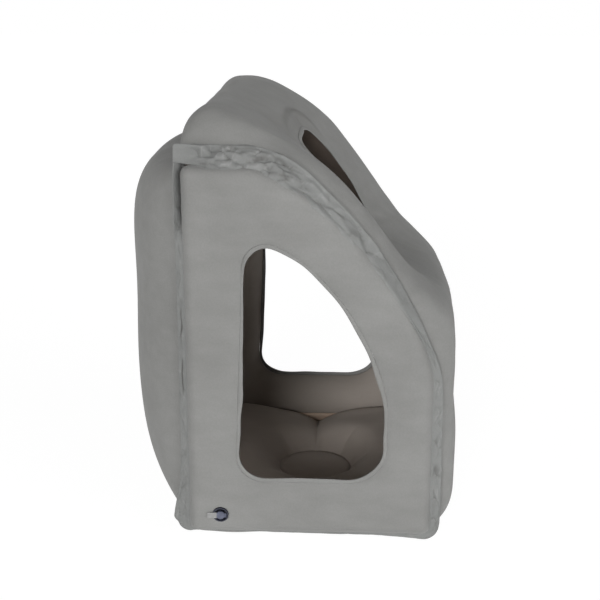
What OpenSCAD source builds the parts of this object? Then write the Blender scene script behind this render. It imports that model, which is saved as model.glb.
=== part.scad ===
// Inflatable wedge pillow for leaning forward on, with arm windows in both side walls,
// a face opening in the sloping wall and a push-in air valve.
// Every wall is an air space between two flocked sheets that are welded together at their edges.

/* [Body] */
// Distance between the weld planes of the two side walls
body_width = 320; // [290:1:350]
// Depth of a side wall, from its back edge to its front edge
side_depth = 272; // [250:1:300]
// Height of a side wall
side_height = 421; // [390:1:460]
// Length of the level top edge of a side wall
top_length = 70; // [55:1:85]
// Height of the upright front edge of a side wall
front_height = 185; // [160:1:210]
// Fullness of the sloping edge, where 1 is straight and 2 is an ellipse
slope_fullness = 1.46; // [1.3:0.02:1.8]
// Corner radius of a side wall
side_corner = 9; // [4:1:16]

/* [Sheets and welds] */
// Thickness of a flocked sheet
sheet = 1; // [0.7:0.1:1.4]
// Gap between a wall's edge and the weld that it meets
weld_gap = 0.2; // [0.1:0.1:0.5]
// Side of the square weld bead along the cross seams
bead = 3; // [2.2:0.1:5]
// Width of the weld lip around the openings
lip_width = 5; // [3:0.5:7]
// Width of the edge seam along the slope and the front
seam_width = 14; // [8:1:20]
// Width of the edge seam along the top
seam_top_width = 20; // [10:1:26]
// Width of the edge seam along the back
seam_back_width = 10; // [6:1:18]
// Width of the edge seam along the foot
seam_foot_width = 4; // [3:1:8]

/* [Crowns] */
// How far a side wall's flat outer panel stands out from its weld plane
side_crown_out = 22; // [19:1:28]
// Inward crown of a side wall
side_crown_in = 15; // [8:1:17]
// Outward crown of the back wall
back_crown_out = 73; // [50:1:90]
// Inward crown of the back wall
back_crown_in = 40; // [20:1:48]
// How far the back wall's upper end bulges above its weld
back_overhang = 24; // [0:1:30]
// Outward crown of the face wall's sides at the forehead
forehead_crown = 62; // [45:1:68]
// Outward crown of the face wall's sides at the brow, just above the face opening
brow_crown = 40; // [32:1:44]
// Outward crown of the face wall's sides at the lower end of the face opening
cheek_crown = 18; // [14:1:26]
// Outward crown of the face wall's sides at the chin
chin_crown = 39; // [26:1:42]
// Outward crown of the face wall's sides along the upright front
front_crown = 22; // [18:1:30]
// Outward crown of the face wall's sides at its foot
toe_crown = 27; // [20:1:34]
// How much fuller the middle of the face wall is than its sides
middle_crown = 7; // [0:1:16]
// Run over which the face wall rounds up from its side welds
face_side_round = 36; // [26:1:50]
// Run over which the face wall rounds up from its top weld
face_top_round = 46; // [34:1:60]
// Run over which the face wall rounds up from its foot weld
face_toe_round = 40; // [30:1:50]
// Inward crown of the face wall
face_crown_in = 22; // [10:1:25]
// Downward crown of the base wall, where it stands flat
base_crown_out = 12; // [9:1:18]
// Upward crown of the base wall
base_crown_in = 32; // [20:1:34]

/* [Arm windows] */
// Distance from the back edge to the window at its foot
window_back_band = 55; // [48:1:62]
// How far the window's back edge leans forward from foot to top
window_lean = 9; // [0:1:14]
// Distance from the foot of the side wall to the window
window_foot_band = 68; // [60:1:76]
// Distance from the front edge to the window
window_front_band = 50; // [44:1:58]
// Height of the window
window_height = 273; // [250:1:280]
// Height above the window's foot where its sloping edge starts
window_front_height = 84; // [66:1:100]
// Distance from the window's back edge to its highest point
window_peak = 26; // [18:1:34]
// Fullness of the window's sloping edge
window_fullness = 1.55; // [1.35:0.05:1.8]
// Radius of the window's lower back corner
window_back_radius = 31; // [20:1:36]
// Radius of the window's lower front corner
window_front_radius = 43; // [28:1:48]
// How far the window's weld stands out from the weld plane of the side wall
window_set_out = 17; // [8:1:18]

/* [Face opening] */
// Distance along the face wall from the top cross seam to the opening
opening_start = 108; // [94:1:118]
// Length of the face opening along the wall
opening_length = 157; // [140:1:175]
// Width of the face opening
opening_width = 100; // [80:1:116]
// Squareness of the face opening, where 2 is an ellipse
opening_squareness = 2.3; // [2:0.1:3]
// Height of the opening's upper end above the wall's weld line
opening_lift_top = 27; // [16:1:32]
// Height of the opening's lower end above the wall's weld line, negative when it is sunken
opening_lift_low = -9; // [-12:1:8]
// Run over which the wall climbs from the opening to its ridges
opening_climb = 75; // [60:1:85]

/* [Base disc] */
// Diameter of the sunken disc where the two base sheets are welded together
base_disc_d = 88; // [76:1:100]
// Distance from the back edge to the centre of the base disc
base_disc_back = 137; // [126:1:146]
// Height of the base disc above the foot of the side walls
base_disc_lift = 5; // [2:1:8]
// Share of the base wall's upward crown that the pinch beside the disc takes away
pinch_depth = 0.75; // [0.3:0.05:0.9]
// Half width of that pinch
pinch_width = 40; // [25:1:55]

/* [Valve] */
// Distance from the back edge to the valve
valve_back = 37; // [32:1:42]
// Height of the valve above the foot of the side wall
valve_height = 29; // [26:1:32]
// Downward tilt of the valve
valve_tilt = 6; // [0:1:12]
// Outer radius of the valve cup
cup_r = 8.8; // [8.4:0.1:9.6]
// Wall of the valve cup
cup_wall = 1; // [0.7:0.1:1.2]
// Depth of the valve cup
cup_depth = 8; // [7:0.5:9]
// Thickness of the cup's floor and of its weld flange
cup_floor = 1.2; // [0.8:0.1:1.6]
// Radius of the cup's weld flange
flange_r = 12; // [11:0.5:13]
// How far the cup's mouth stands proud of the sheet
mouth_proud = 0.8; // [0.6:0.1:1.4]
// Outer radius of the valve stem
stem_r = 4.2; // [4:0.1:4.4]
// Radius of the stem's bore
stem_bore_r = 3; // [2.6:0.1:3.2]
// Length of the stem from its collar's top to its inner end
stem_length = 17; // [16:0.5:19]
// Radius of the stem's collar
collar_r = 5; // [4.8:0.1:5.1]
// Thickness of the stem's collar
collar_h = 1.4; // [1:0.1:1.8]
// Radius of the plug's head
head_r = 4.7; // [4.4:0.1:4.9]
// Thickness of the plug's head
head_h = 1.6; // [1.2:0.1:2]
// Length of the plug's stopper
stopper_length = 3.6; // [2.6:0.1:3.8]
// Distance from the valve's axis to the plug's hinge
hinge_reach = 6; // [5.8:0.1:6.2]
// Radius of the plug's hinge bead
hinge_r = 0.65; // [0.5:0.05:0.7]
// Length of the plug's hinge bead
hinge_length = 5; // [3:0.5:6]
// Length of the plug's pull tab beyond the head
tab_length = 10; // [7:0.5:12]
// Width of the plug's pull tab
tab_width = 7; // [5:0.5:8]
// How much narrower the stopper is than the bore halfway down and at its nose
waist_taper = 0.4; // [0.2:0.1:0.6]
nose_taper = 1.1; // [0.8:0.1:1.4]
// Thickness of the plug's pull tab
tab_h = 0.8; // [0.6:0.1:0.9]
// How far the stem's collar sits below the cup's mouth
collar_drop = 0.6; // [0.5:0.1:0.8]
// Radius of the return flap
flap_r = 3.9; // [3.6:0.1:4]
// Thickness of the return flap
flap_h = 0.6; // [0.5:0.1:0.8]
// Running clearance between the valve's moving pieces
valve_clear = 0.1; // [0.05:0.05:0.15]

/* [Hidden] */

flock_grey = [0.56, 0.56, 0.55];
weld_grey = [0.50, 0.51, 0.51];
inner_grey = [0.46, 0.45, 0.43];
clear_vinyl = [0.72, 0.75, 0.82, 0.6];

plane_x = body_width / 2;
// Half width of the walls that lie between the two side walls
inner_x = plane_x - sheet - weld_gap;
// Parts of a full turn spent on the foot, front, slope, top and back of a side wall
side_counts = [8, 6, 13, 3, 10];
// Share of a side wall's band that its inner sheet keeps flat along the edge
side_border = 0.07;
side_steps = [0, 0.12, 0.35, 0.65, 0.85, 1 - side_border, 1];
panel_steps = [0, 0.03, 0.1, 0.22, 0.5, 0.78, 0.9, 0.97, 1];
face_steps = [0, 0.12, 0.3, 0.5, 0.69, 0.84, 0.93, 0.98, 1];
base_steps = [0, 0.12, 0.35, 0.65, 0.88, 1];
face_top_steps = 8;
face_side_steps = 14;
base_counts = [6, 6, 6, 6];
back_columns = 10;
back_rows = 12;
arc_steps = 6;
slope_steps = 24;
round_fn = 48;

function lerp(a, b, t) = a + (b - a) * t;
function cross2(a, b) = a.x * b.y - a.y * b.x;

// Points on a circular arc, and on a quarter of a superellipse that starts at its top
function arc_points(centre, r, from, to) =
    [for (i = [0:arc_steps]) let (a = lerp(from, to, i / arc_steps)) centre + r * [cos(a), sin(a)]];
function slope_points(centre, run, rise, fullness) =
    [for (i = [slope_steps:-1:0]) let (q = 90 * i / slope_steps)
        centre + [run * pow(cos(q), 2 / fullness), rise * pow(sin(q), 2 / fullness)]];

// Distance from a point to a closed path along one direction
function reach(path, from, angle) = let (d = [cos(angle), sin(angle)]) max([
    for (i = [0:len(path) - 1])
        let (
            p = path[i] - from,
            e = path[(i + 1) % len(path)] - path[i],
            turn = cross2(d, e),
            r = abs(turn) > 1e-9 ? cross2(p, e) / turn : 0,
            s = abs(turn) > 1e-9 ? cross2(p, d) / turn : -1
        )
        if (r > 0 && s > -1e-6 && s < 1 + 1e-6) r
]);
function turn_to(from, to) = atan2(to.y - from.y, to.x - from.x);

// Directions that pass through every key point in turn, with even steps between them
function step_angles(from, keys, counts) = [
    for (k = [0:len(keys) - 1])
        let (
            a = turn_to(from, keys[k]),
            b = turn_to(from, keys[(k + 1) % len(keys)]),
            span = b > a ? b - a : b - a + 360
        )
        for (i = [0:counts[k] - 1]) a + span * i / counts[k]
];
function on_path(path, from, angles) =
    [for (a = angles) from + reach(path, from, a) * [cos(a), sin(a)]];

// Crown of an air space across its width: full and rounded outside, flatter inside
crown_power = 2.4;
crown_roundness = 0.6;
function full_crown(t) = pow(1 - pow(abs(2 * t - 1), crown_power), crown_roundness);
function flat_crown(t) = 4 * t * (1 - t);
// Crown of a side wall's outer panel: flat right up to its tight edges
panel_power = 8;
function panel_crown(t) = sqrt(1 - pow(abs(2 * t - 1), panel_power));

// Two triangles of a four-sided patch, on one diagonal or on the other
function halves(q, other) =
    other ? [[q[1], q[2], q[3]], [q[1], q[3], q[0]]] : [[q[0], q[1], q[2]], [q[0], q[2], q[3]]];
function other_is_shorter(a, b, c, d) = norm(a - c) > norm(b - d) + 1e-6;

// A sheet around an opening, from its loops of points on the outer and on the inner side.
// Loops run from the opening to the edge, anticlockwise as seen from the outer side.
module ring_sheet(outer, inner) {
    m = len(outer) - 1;
    n = len(outer[0]);
    points = [for (loops = [outer, inner]) for (loop = loops) each loop];
    function at(side, j, i) = (side * (m + 1) + j) * n + i % n;
    function patch(side, j, i) = side == 0
        ? [at(0, j, i), at(0, j, i + 1), at(0, j + 1, i + 1), at(0, j + 1, i)]
        : [at(1, j, i), at(1, j + 1, i), at(1, j + 1, i + 1), at(1, j, i + 1)];
    triangles = [
        for (j = [0:m - 1]) for (i = [0:n - 1])
            let (
                q = patch(0, j, i),
                other = other_is_shorter(points[q[0]], points[q[1]], points[q[2]], points[q[3]])
            )
            each concat(halves(q, other), halves(patch(1, j, i), other)),
        for (i = [0:n - 1]) each concat(
            halves([at(0, 0, i + 1), at(0, 0, i), at(1, 0, i), at(1, 0, i + 1)], false),
            halves([at(0, m, i), at(0, m, i + 1), at(1, m, i + 1), at(1, m, i)], false)
        )
    ];
    polyhedron(points, triangles);
}

// A sheet with no opening, from rows of points that run rightwards and upwards as seen from outside
module plain_sheet(outer, inner) {
    m = len(outer) - 1;
    n = len(outer[0]) - 1;
    points = [for (rows = [outer, inner]) for (row = rows) each row];
    function at(side, j, i) = (side * (m + 1) + j) * (n + 1) + i;
    function patch(side, j, i) = side == 0
        ? [at(0, j, i), at(0, j + 1, i), at(0, j + 1, i + 1), at(0, j, i + 1)]
        : [at(1, j, i), at(1, j, i + 1), at(1, j + 1, i + 1), at(1, j + 1, i)];
    triangles = [
        for (j = [0:m - 1]) for (i = [0:n - 1])
            let (
                q = patch(0, j, i),
                other = other_is_shorter(points[q[0]], points[q[1]], points[q[2]], points[q[3]])
            )
            each concat(halves(q, other), halves(patch(1, j, i), other)),
        for (i = [0:n - 1]) each concat(
            halves([at(0, 0, i), at(0, 0, i + 1), at(1, 0, i + 1), at(1, 0, i)], false),
            halves([at(0, m, i + 1), at(0, m, i), at(1, m, i), at(1, m, i + 1)], false)
        ),
        for (j = [0:m - 1]) each concat(
            halves([at(0, j + 1, 0), at(0, j, 0), at(1, j, 0), at(1, j + 1, 0)], false),
            halves([at(0, j, n), at(0, j + 1, n), at(1, j + 1, n), at(1, j, n)], false)
        )
    ];
    polyhedron(points, triangles);
}

// Side walls, drawn as (distance forward from the back edge, height above the foot)
slope_reach = side_depth - top_length;
slope_rise = side_height - front_height;
side_path = concat(
    arc_points([side_corner, side_corner], side_corner, 180, 270),
    arc_points([side_depth - side_corner, side_corner], side_corner, 270, 360),
    [for (i = [slope_steps:-1:0])
        slope_points([top_length, front_height], slope_reach, slope_rise, slope_fullness)[i]],
    arc_points([side_corner, side_height - side_corner], side_corner, 90, 180)
);
window_front = side_depth - window_front_band;
window_top = window_foot_band + window_height;
window_back_top = window_back_band + window_lean;
window_peak_u = window_back_top + window_peak;
window_slope_foot = window_foot_band + window_front_height;
window_slope = slope_points(
    [window_peak_u, window_slope_foot], window_front - window_peak_u,
    window_top - window_slope_foot, window_fullness
);
window_path = concat(
    arc_points([window_back_band + window_back_radius, window_foot_band + window_back_radius],
        window_back_radius, 180, 270),
    arc_points([window_front - window_front_radius, window_foot_band + window_front_radius],
        window_front_radius, 270, 360),
    [for (i = [slope_steps:-1:0]) window_slope[i]],
    arc_points([window_peak_u, window_top - window_peak], window_peak, 90, 180)
);
// Height of the middle that the side wall's steps turn around, as a share of the window's height
side_centre_share = 0.38;
side_centre = [
    (window_back_band + window_front) / 2, window_foot_band + window_height * side_centre_share
];
side_keys = [
    [0, 0], [side_depth, 0], [side_depth, front_height], [top_length, side_height], [0, side_height]
];
side_angles = step_angles(side_centre, side_keys, side_counts);
side_edge = on_path(side_path, side_centre, side_angles);
window_edge = on_path(window_path, side_centre, side_angles);

// Loops of points of a side sheet at a distance out from the weld plane that the crown gives
function weld_out(t) = window_set_out * pow(1 - t, 2);
function panel_out(t) = lerp(weld_out(t), side_crown_out, panel_crown(t));
function lining_out(t) = lerp(weld_out(t), -side_crown_in, flat_crown(min(t / (1 - side_border), 1)));
function side_loops(lift, inward = false) = [
    for (t = inward ? side_steps : panel_steps) [
        for (i = [0:len(side_angles) - 1])
            let (
                p = lerp(window_edge[i], side_edge[i], t),
                out = inward ? lining_out(t) : panel_out(t)
            )
            [-plane_x - out - lift, -p.x, p.y]
    ]
];
module on_right() { mirror([1, 0, 0]) children(); }
module outer_side_sheet() {
    ring_sheet(side_loops(sheet), side_loops(0));
}
module inner_side_sheet() {
    ring_sheet(side_loops(0, true), side_loops(-sheet, true));
}

// A flat weld between two loops, out from the weld plane of the left side wall
module side_weld(outside, inside, out) {
    translate([-plane_x - out, 0, 0]) rotate([90, 0, -90])
        linear_extrude(2 * sheet, center = true)
            difference() {
                polygon(outside);
                polygon(inside);
            }
}
lip_inner = [
    for (i = [0:len(side_angles) - 1])
        let (d = window_edge[i] - side_centre) window_edge[i] - lip_width * d / norm(d)
];
module window_weld() { side_weld(window_edge, lip_inner, window_set_out); }

// Width of the edge seam where it leaves the side wall in each direction
function seam_at(p) =
    p.y < 1 ? seam_foot_width :
    p.x < 1 ? seam_back_width :
    p.y > side_height - 1 ? seam_top_width : seam_width;
seam_outer = [
    for (i = [0:len(side_edge) - 1])
        let (
            before = side_edge[(i + len(side_edge) - 1) % len(side_edge)],
            after = side_edge[(i + 1) % len(side_edge)],
            along = after - before,
            out = [along.y, -along.x] / norm(along)
        )
        side_edge[i] + seam_at(side_edge[i]) * out
];
module edge_seam() { side_weld(seam_outer, side_edge, 0); }

// Face wall, drawn as (sideways, distance along the wall from the top cross seam, downwards negative)
face_path = concat(
    [[0, side_height]],
    slope_points([top_length, front_height], slope_reach, slope_rise, slope_fullness),
    [[side_depth, 0]]
);
function path_lengths(path, i = 0, total = 0) =
    i == len(path) - 1 ? [total] :
    concat([total], path_lengths(path, i + 1, total + norm(path[i + 1] - path[i])));
face_lengths = path_lengths(face_path);
face_length = face_lengths[len(face_lengths) - 1];
face_u = [for (i = [0:len(face_path) - 1]) [face_lengths[i], face_path[i].x]];
face_z = [for (i = [0:len(face_path) - 1]) [face_lengths[i], face_path[i].y]];
function face_line(s) = [lookup(s, face_u), lookup(s, face_z)];
// Outward direction of the face wall, taken over a stretch so that it turns smoothly
turn_stretch = 30;
function face_out(s) =
    let (d = face_line(min(s + turn_stretch, face_length)) - face_line(max(s - turn_stretch, 0)))
    [-d.y, d.x] / norm(d);
opening_s = opening_start + opening_length / 2;
opening_end = opening_start + opening_length;
forehead_share = 0.4;
brow_place = 0.8;
brow_share = 0.12;
mid_share = 0.64;
cheek_rise = 18;
chin_drop = 73;
toe_share = 0.3;
forehead_s = opening_start * forehead_share;
brow_s = opening_start * brow_place;
chin_s = opening_end + chin_drop;
front_s = face_length - front_height;
toe_s = face_length - front_height * toe_share;
face_crowns = [
    [0, forehead_crown],
    [forehead_s, forehead_crown],
    [brow_s, brow_crown],
    [opening_start, lerp(brow_crown, cheek_crown, brow_share)],
    [opening_s, lerp(brow_crown, cheek_crown, mid_share)],
    [opening_end - cheek_rise, cheek_crown],
    [opening_end + cheek_rise, cheek_crown],
    [chin_s, chin_crown],
    [front_s, front_crown],
    [toe_s, toe_crown],
    [face_length, toe_crown]
];
// Height of the face wall over its weld line away from the opening: rounded up from its welds and fuller
// in the middle. Over the top of the opening it climbs at once, and beside the opening at an even slope.
function rounding(share) = sqrt(1 - pow(1 - max(0, min(share, 1)), 2));
function face_crown(q) =
    let (
        x = abs(q.x),
        s = -q.y,
        ridge = inner_x - face_side_round,
        ends = rounding((s - bead) / face_top_round) * rounding((face_length - bead - s) / face_toe_round),
        middle = middle_crown * max(0, 1 - pow(x / ridge, 2))
    )
    (lookup(s, face_crowns) * rounding((inner_x - x) / face_side_round) + middle) * ends;
function face_climb(q, away) =
    let (
        share = min(away / opening_climb, 1),
        at_top = max(0, min(1, (opening_start + forehead_s + q.y) / forehead_s))
    )
    lerp(share, rounding(share), at_top);
face_centre = [0, -opening_s];
// The edge of the face wall, closer stepped at its top, round from its top right corner
face_step_power = 1.3;
function face_down(share) = -lerp(bead, face_length - bead, pow(share, face_step_power));
face_edge = concat(
    [for (i = [0:face_top_steps - 1]) [lerp(inner_x, -inner_x, i / face_top_steps), face_down(0)]],
    [for (i = [0:face_side_steps - 1]) [-inner_x, face_down(i / face_side_steps)]],
    [for (i = [0:face_top_steps - 1]) [lerp(-inner_x, inner_x, i / face_top_steps), face_down(1)]],
    [for (i = [face_side_steps:-1:1]) [inner_x, face_down(i / face_side_steps)]]
);
face_angles = [for (p = face_edge) turn_to(face_centre, p)];
function oval(angle, half_x, half_y, power) =
    pow(pow(abs(cos(angle)) / half_x, power) + pow(abs(sin(angle)) / half_y, power), -1 / power);
opening_edge = [
    for (a = face_angles)
        face_centre + oval(a, opening_width / 2, opening_length / 2, opening_squareness) * [cos(a), sin(a)]
];
function opening_lift(s) = lookup(s, [[opening_start, opening_lift_top], [opening_end, opening_lift_low]]);
function face_place(q, h) =
    let (s = -q.y, p = face_line(s) + h * face_out(s)) [q.x, -p.x, p.y];
function face_loops(lift, inward = false) = [
    for (t = face_steps) [
        for (i = [0:len(face_angles) - 1])
            let (
                q = lerp(opening_edge[i], face_edge[i], t),
                rim = opening_lift(-opening_edge[i].y),
                climb = face_climb(q, norm(q - opening_edge[i])),
                h = inward
                    ? rim * (1 - t) - face_crown_in * flat_crown(t) - lift
                    : lerp(rim, face_crown(q), climb) + lift
            )
            face_place(q, h)
    ]
];
function face_lip(lift, inset) = [
    for (p = opening_edge)
        let (d = p - face_centre) face_place(p - inset * d / norm(d), opening_lift(-p.y) + lift)
];

// Back wall, drawn in rows from the foot upwards, squarer at its top than at its foot
back_foot_power = 4;
back_top_power = 7;
back_roundness = 0.65;
overhang_power = 3;
function back_rise(b) = pow(1 - pow(abs(b), b < 0 ? back_foot_power : back_top_power), back_roundness);
function back_rows_at(crown, lift, inward = false) = [
    for (j = [0:back_rows]) [
        for (i = [0:back_columns])
            let (
                a = -cos(180 * i / back_columns),
                b = -cos(180 * j / back_rows),
                share = (b + 1) / 2,
                bulge = inward ? (1 - pow(a, 2)) * (1 - pow(b, 2)) : full_crown((a + 1) / 2) * back_rise(b),
                h = crown * bulge + lift,
                over = inward ? 0 : back_overhang * bulge * pow(share, overhang_power)
            )
            [-a * inner_x, inward ? -h : h, lerp(bead, side_height - bead, share) + over]
    ]
];

// Base wall, drawn as (sideways, distance forward from the back edge)
base_centre = [0, base_disc_back];
base_keys = [
    [-inner_x, bead], [inner_x, bead], [inner_x, side_depth - bead], [-inner_x, side_depth - bead]
];
base_angles = step_angles(base_centre, base_keys, base_counts);
base_edge = on_path(base_keys, base_centre, base_angles);
base_rim = [for (a = base_angles) base_centre + base_disc_d / 2 * [cos(a), sin(a)]];
// How much more than its flat the base wall would bulge, which makes the flat wide
base_proud = 0.8;
// Share of the upward crown that is left beside the disc, least at the side edges
function pinch(q) =
    let (near = exp(-pow((q.y - base_disc_back) / pinch_width, 2)))
    1 - pinch_depth * near * abs(q.x) / inner_x;
function base_loops(lift, inward = false) = [
    for (t = base_steps) [
        for (i = [0:len(base_angles) - 1])
            let (
                q = lerp(base_rim[i], base_edge[i], t),
                raised = base_disc_lift * pow(1 - t, 2),
                full = base_crown_out + base_disc_lift + base_proud,
                down = min(base_crown_out, full * full_crown(t) - raised) + lift,
                up = base_crown_in * flat_crown(t) * pinch(q) + raised + lift
            )
            [q.x, -q.y, inward ? up : -down]
    ]
];
module base_weld() {
    translate([0, 0, base_disc_lift - sheet]) linear_extrude(2 * sheet)
        polygon([for (p = base_rim) [p.x, -p.y]]);
}

// The part's own frame: level with the flat of the base, midway between front and back
foot_z = base_crown_out + sheet;
face_front = min([for (loop = face_loops(sheet)) for (p = loop) p.y]);
middle_y = (face_front + max([for (row = back_rows_at(back_crown_out, sheet)) for (p = row) p.y])) / 2;
module in_frame() { translate([0, -middle_y, foot_z]) children(); }

// Cross seams: square weld beads where the walls between the side walls meet
module cross_seam(u, z) {
    translate([-inner_x, -u - bead / 2, z - bead / 2])
        cube([2 * inner_x, bead - weld_gap, bead - weld_gap]);
}

// Valve, with its axis outwards along +Z and its upper side along +X
valve_angle = turn_to(side_centre, [valve_back, valve_height]);
valve_from = reach(window_path, side_centre, valve_angle);
valve_to = reach(side_path, side_centre, valve_angle);
valve_share = (norm([valve_back, valve_height] - side_centre) - valve_from) / (valve_to - valve_from);
valve_out = lookup(valve_share, [for (t = panel_steps) [t, panel_out(t)]]);
module at_valve() {
    translate([-plane_x - valve_out - sheet, -valve_back, valve_height])
        rotate([0, -90 - valve_tilt, 0])
            children();
}
mouth_z = mouth_proud;
floor_z = mouth_z - cup_depth;
collar_top = mouth_z - collar_drop;
plug_z = collar_top + valve_clear;
hinge_z = plug_z + head_h / 2;
stem_foot = collar_top - stem_length;
flap_z = stem_foot - valve_clear - flap_h;

module valve_cup_body() {
    rotate_extrude($fn = round_fn) polygon([
        [stem_r + valve_clear, floor_z - cup_floor],
        [flange_r, floor_z - cup_floor],
        [flange_r, floor_z],
        [cup_r, floor_z],
        [cup_r, mouth_z],
        [cup_r - cup_wall, mouth_z],
        [cup_r - cup_wall, floor_z],
        [stem_r + valve_clear, floor_z]
    ]);
}
module valve_stem_body() {
    rotate_extrude($fn = round_fn) polygon([
        [stem_bore_r, stem_foot],
        [stem_r, stem_foot],
        [stem_r, collar_top - collar_h],
        [collar_r, collar_top - collar_h],
        [collar_r, collar_top],
        [stem_bore_r, collar_top]
    ]);
}
module valve_flap_body() {
    translate([0, 0, flap_z]) cylinder(h = flap_h, r = flap_r, $fn = round_fn);
    translate([flap_r, -flap_r / 2, flap_z + flap_h / 2]) rotate([-90, 0, 0])
        cylinder(h = flap_r, r = flap_h / 2, $fn = round_fn);
}
module valve_plug_body() {
    nose_r = stem_bore_r - valve_clear - nose_taper;
    waist_r = stem_bore_r - valve_clear - waist_taper;
    rotate_extrude($fn = round_fn) polygon([
        [0, plug_z - stopper_length],
        [nose_r, plug_z - stopper_length],
        [waist_r, plug_z - stopper_length / 2],
        [stem_bore_r - valve_clear, plug_z],
        [head_r, plug_z],
        [head_r, plug_z + head_h],
        [0, plug_z + head_h]
    ]);
    translate([-tab_width / 2, head_r - 1, plug_z + head_h - tab_h])
        cube([tab_width, tab_length + 1, tab_h]);
}
module valve_strap_body() {
    difference() {
        union() {
            translate([-hinge_length / 2, -hinge_reach, hinge_z]) rotate([0, 90, 0])
                cylinder(h = hinge_length, r = hinge_r, $fn = round_fn);
            translate([-hinge_length / 2, -hinge_reach, hinge_z - hinge_r / 2])
                cube([hinge_length, hinge_reach, hinge_r]);
        }
        translate([0, 0, plug_z - 1]) cylinder(h = head_h + 2, r = head_r, $fn = round_fn);
    }
}

module left_outer_sheet() {
    color(flock_grey) in_frame() difference() {
        outer_side_sheet();
        at_valve() translate([0, 0, -2 * cup_depth])
            cylinder(h = 4 * cup_depth, r = cup_r + valve_clear, $fn = round_fn);
    }
}
module left_inner_sheet() { color(inner_grey) in_frame() inner_side_sheet(); }
module left_window_weld() { color(weld_grey) in_frame() window_weld(); }
module left_edge_seam() { color(weld_grey) in_frame() edge_seam(); }
module right_outer_sheet() { color(flock_grey) in_frame() on_right() outer_side_sheet(); }
module right_inner_sheet() { color(inner_grey) in_frame() on_right() inner_side_sheet(); }
module right_window_weld() { color(weld_grey) in_frame() on_right() window_weld(); }
module right_edge_seam() { color(weld_grey) in_frame() on_right() edge_seam(); }
module face_outer_sheet() { color(flock_grey) in_frame() ring_sheet(face_loops(sheet), face_loops(0)); }
module face_inner_sheet() {
    color(inner_grey) in_frame() ring_sheet(face_loops(0, true), face_loops(sheet, true));
}
module face_opening_weld() {
    color(weld_grey) in_frame() ring_sheet(
        [face_lip(sheet, lip_width), face_lip(sheet, 0)],
        [face_lip(-sheet, lip_width), face_lip(-sheet, 0)]
    );
}
module back_outer_sheet() {
    color(flock_grey) in_frame()
        plain_sheet(back_rows_at(back_crown_out, sheet), back_rows_at(back_crown_out, 0));
}
module back_inner_sheet() {
    color(inner_grey) in_frame()
        plain_sheet(back_rows_at(back_crown_in, 0, true), back_rows_at(back_crown_in, sheet, true));
}
module base_outer_sheet() { color(flock_grey) in_frame() ring_sheet(base_loops(sheet), base_loops(0)); }
module base_inner_sheet() {
    color(inner_grey) in_frame() ring_sheet(base_loops(0, true), base_loops(sheet, true));
}
module base_disc_weld() { color(weld_grey) in_frame() base_weld(); }
module top_cross_seam() { color(weld_grey) in_frame() cross_seam(bead / 2, side_height - bead / 2); }
module front_cross_seam() { color(weld_grey) in_frame() cross_seam(side_depth - bead / 2, bead / 2); }
module rear_cross_seam() { color(weld_grey) in_frame() cross_seam(bead / 2, bead / 2); }
module valve_cup() { color(clear_vinyl) in_frame() at_valve() valve_cup_body(); }
module valve_stem() { color(clear_vinyl) in_frame() at_valve() valve_stem_body(); }
module valve_flap() { color(clear_vinyl) in_frame() at_valve() valve_flap_body(); }
module valve_plug() { color(clear_vinyl) in_frame() at_valve() valve_plug_body(); }
module valve_hinge_strap() { color(clear_vinyl) in_frame() at_valve() valve_strap_body(); }

left_outer_sheet();
left_inner_sheet();
left_window_weld();
left_edge_seam();
right_outer_sheet();
right_inner_sheet();
right_window_weld();
right_edge_seam();
face_outer_sheet();
face_inner_sheet();
face_opening_weld();
back_outer_sheet();
back_inner_sheet();
base_outer_sheet();
base_inner_sheet();
base_disc_weld();
top_cross_seam();
front_cross_seam();
rear_cross_seam();
valve_cup();
valve_stem();
valve_flap();
valve_plug();
valve_hinge_strap();
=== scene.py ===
"""The looks of an inflated wedge pillow: walls held out by air between welded flocked sheets,
crinkled weld fins along the side walls, weld lips round the openings and a clear push-in valve."""

import math

import bpy
import numpy as np
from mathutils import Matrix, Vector


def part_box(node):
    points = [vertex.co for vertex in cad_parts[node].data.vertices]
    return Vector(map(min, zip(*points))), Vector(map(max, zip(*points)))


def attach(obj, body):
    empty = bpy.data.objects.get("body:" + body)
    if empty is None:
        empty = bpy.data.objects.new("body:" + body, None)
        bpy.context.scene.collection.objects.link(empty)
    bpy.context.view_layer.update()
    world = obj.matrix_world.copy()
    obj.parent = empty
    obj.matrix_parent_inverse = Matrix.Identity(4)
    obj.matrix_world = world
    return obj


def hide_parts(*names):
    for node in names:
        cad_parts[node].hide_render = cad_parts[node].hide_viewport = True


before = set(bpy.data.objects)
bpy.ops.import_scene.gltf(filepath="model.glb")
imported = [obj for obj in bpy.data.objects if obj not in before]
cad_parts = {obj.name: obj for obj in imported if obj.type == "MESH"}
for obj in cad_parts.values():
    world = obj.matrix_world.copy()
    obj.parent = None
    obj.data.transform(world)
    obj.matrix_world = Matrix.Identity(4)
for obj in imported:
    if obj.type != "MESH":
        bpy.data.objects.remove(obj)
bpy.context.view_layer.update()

# Sizes are in metres. Side walls are drawn as (distance forward from the back edge, height above the foot).
side_low, side_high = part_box("left_outer_sheet")
seam_low, seam_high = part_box("left_edge_seam")
LEFT = -1
RIGHT = 1
BACK_Y = side_high.y
FOOT_Z = side_low.z
PLANE_X = -(seam_low.x + seam_high.x) / 2
WALL_GAP = 0.0012
INNER_X = PLANE_X - WALL_GAP
SHEET = 0.001
BEAD = 0.003
SEED = 7

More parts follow.
